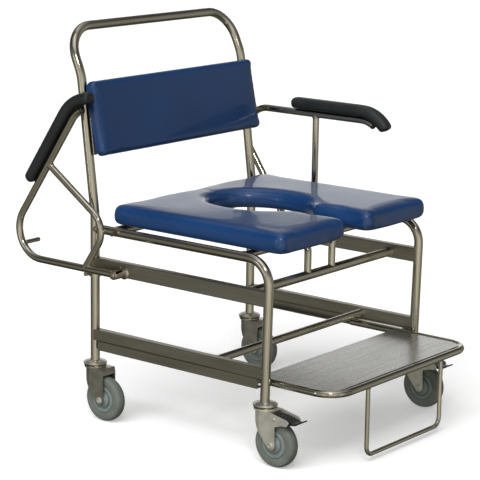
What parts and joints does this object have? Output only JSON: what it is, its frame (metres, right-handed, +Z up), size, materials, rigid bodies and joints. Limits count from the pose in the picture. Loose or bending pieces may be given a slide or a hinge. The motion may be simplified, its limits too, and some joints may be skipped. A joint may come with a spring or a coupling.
{
  "type": "shower commode chair",
  "caption": "Wide wheeled shower commode chair in bent steel tube with an open-front padded seat, padded back, swing-back arms, push handle and slide-in footrest.",
  "frame": {"origin": "on the floor, under the middle of the overall box", "axes": "+Z up; the user faces -Y; +X is the user's left"},
  "size_m": [0.818, 1.0595, 1.085],
  "materials": {
    "polished_tube": "bright drawn and polished stainless steel",
    "brushed_steel": "satin brushed stainless steel",
    "blue_vinyl": "glossy dark blue coated fabric",
    "black_board": "black satin",
    "black_plastic": "satin black",
    "arm_pad_foam": "self-skinned black foam",
    "grey_tyre": "grey-green non-marking rubber",
    "hub_plastic": "light blue-grey moulding",
    "nylon": "off-white",
    "zinc_steel": "bright zinc plate"
  },
  "bodies": {
    "frame": {"rear_hoop_tube": "polished_tube", "side_tube_left": "polished_tube", "side_tube_right": "polished_tube", "upper_side_rail_left": "brushed_steel", "upper_side_rail_right": "brushed_steel", "lower_side_rail_left": "brushed_steel", "lower_side_rail_right": "brushed_steel", "slide_channel_left": "brushed_steel", "slide_channel_right": "brushed_steel", "seat_support_hoop_left": "polished_tube", "seat_support_hoop_right": "polished_tube", "backrest_bracket_left": "black_board", "backrest_bracket_right": "black_board", "arm_spindle_left": "polished_tube", "arm_spindle_right": "polished_tube", "arm_rest_collar_left": "polished_tube", "arm_rest_collar_right": "polished_tube", "upper_cross_tube": "polished_tube", "lower_cross_tube": "polished_tube", "rear_seat_cross_tube": "polished_tube", "seat_cushion": "blue_vinyl", "seat_base_board": "black_board", "backrest_cushion": "blue_vinyl", "backrest_board": "black_board", "caster_head_front_left": "zinc_steel", "caster_head_front_right": "zinc_steel", "caster_head_rear_left": "zinc_steel", "caster_head_rear_right": "zinc_steel"},
    "arm_left": {"arm_tube_left": "polished_tube", "arm_brace_left": "polished_tube", "arm_pad_left": "arm_pad_foam", "arm_end_plug_left": "black_plastic"},
    "arm_right": {"arm_tube_right": "polished_tube", "arm_brace_right": "polished_tube", "arm_pad_right": "arm_pad_foam", "arm_end_plug_right": "black_plastic"},
    "footrest": {"footrest_tube": "polished_tube", "footrest_plate": "brushed_steel", "anti_tip_loop": "polished_tube", "slide_shoe_left": "nylon", "slide_shoe_right": "nylon"},
    "caster_front_left": {"caster_fork_front_left": "zinc_steel", "caster_axle_front_left": "zinc_steel"},
    "wheel_front_left": {"caster_tyre_front_left": "grey_tyre", "caster_hub_front_left": "hub_plastic"},
    "caster_front_right": {"caster_fork_front_right": "zinc_steel", "caster_axle_front_right": "zinc_steel"},
    "wheel_front_right": {"caster_tyre_front_right": "grey_tyre", "caster_hub_front_right": "hub_plastic"},
    "caster_rear_left": {"caster_fork_rear_left": "zinc_steel", "caster_axle_rear_left": "zinc_steel"},
    "wheel_rear_left": {"caster_tyre_rear_left": "grey_tyre", "caster_hub_rear_left": "hub_plastic"},
    "caster_rear_right": {"caster_fork_rear_right": "zinc_steel", "caster_axle_rear_right": "zinc_steel"},
    "wheel_rear_right": {"caster_tyre_rear_right": "grey_tyre", "caster_hub_rear_right": "hub_plastic"},
    "pedal_front_left": {"brake_pedal_front_left": "black_plastic"},
    "pedal_front_right": {"brake_pedal_front_right": "black_plastic"}
  },
  "joints": [
    {"name": "arm_swing_left", "type": "hinge", "parent": "frame", "child": "arm_left", "pos_m": [0.386, 0.159, 0.432], "axis": [1, 0, 0], "range_deg": [-55.8, 0]},
    {"name": "arm_swing_right", "type": "hinge", "parent": "frame", "child": "arm_right", "pos_m": [-0.386, 0.159, 0.432], "axis": [1, 0, 0], "range_deg": [0, 55.8]},
    {"name": "footrest_slide", "type": "slide", "parent": "frame", "child": "footrest", "axis": [0, 1, 0], "range_m": [0, 0.19]},
    {"name": "caster_swivel_front_left", "type": "hinge", "parent": "frame", "child": "caster_front_left", "pos_m": [0.343, -0.3186, 0.12], "axis": [0, 0, 1], "continuous": true},
    {"name": "wheel_spin_front_left", "type": "hinge", "parent": "caster_front_left", "child": "wheel_front_left", "pos_m": [0.343, -0.3576, 0.0625], "axis": [1, 0, 0], "continuous": true},
    {"name": "brake_pedal_front_left", "type": "hinge", "parent": "caster_front_left", "child": "pedal_front_left", "pos_m": [0.343, -0.3666, 0.135], "axis": [1, 0, 0], "range_deg": [0, 12]},
    {"name": "caster_swivel_front_right", "type": "hinge", "parent": "frame", "child": "caster_front_right", "pos_m": [-0.343, -0.3186, 0.12], "axis": [0, 0, 1], "continuous": true},
    {"name": "wheel_spin_front_right", "type": "hinge", "parent": "caster_front_right", "child": "wheel_front_right", "pos_m": [-0.343, -0.3576, 0.0625], "axis": [1, 0, 0], "continuous": true},
    {"name": "brake_pedal_front_right", "type": "hinge", "parent": "caster_front_right", "child": "pedal_front_right", "pos_m": [-0.343, -0.3666, 0.135], "axis": [1, 0, 0], "range_deg": [0, 12]},
    {"name": "caster_swivel_rear_left", "type": "hinge", "parent": "frame", "child": "caster_rear_left", "pos_m": [0.343, 0.275, 0.12], "axis": [0, 0, 1], "continuous": true},
    {"name": "wheel_spin_rear_left", "type": "hinge", "parent": "caster_rear_left", "child": "wheel_rear_left", "pos_m": [0.343, 0.236, 0.0625], "axis": [1, 0, 0], "continuous": true},
    {"name": "caster_swivel_rear_right", "type": "hinge", "parent": "frame", "child": "caster_rear_right", "pos_m": [-0.343, 0.275, 0.12], "axis": [0, 0, 1], "continuous": true},
    {"name": "wheel_spin_rear_right", "type": "hinge", "parent": "caster_rear_right", "child": "wheel_rear_right", "pos_m": [-0.343, 0.236, 0.0625], "axis": [1, 0, 0], "continuous": true}
  ]
}
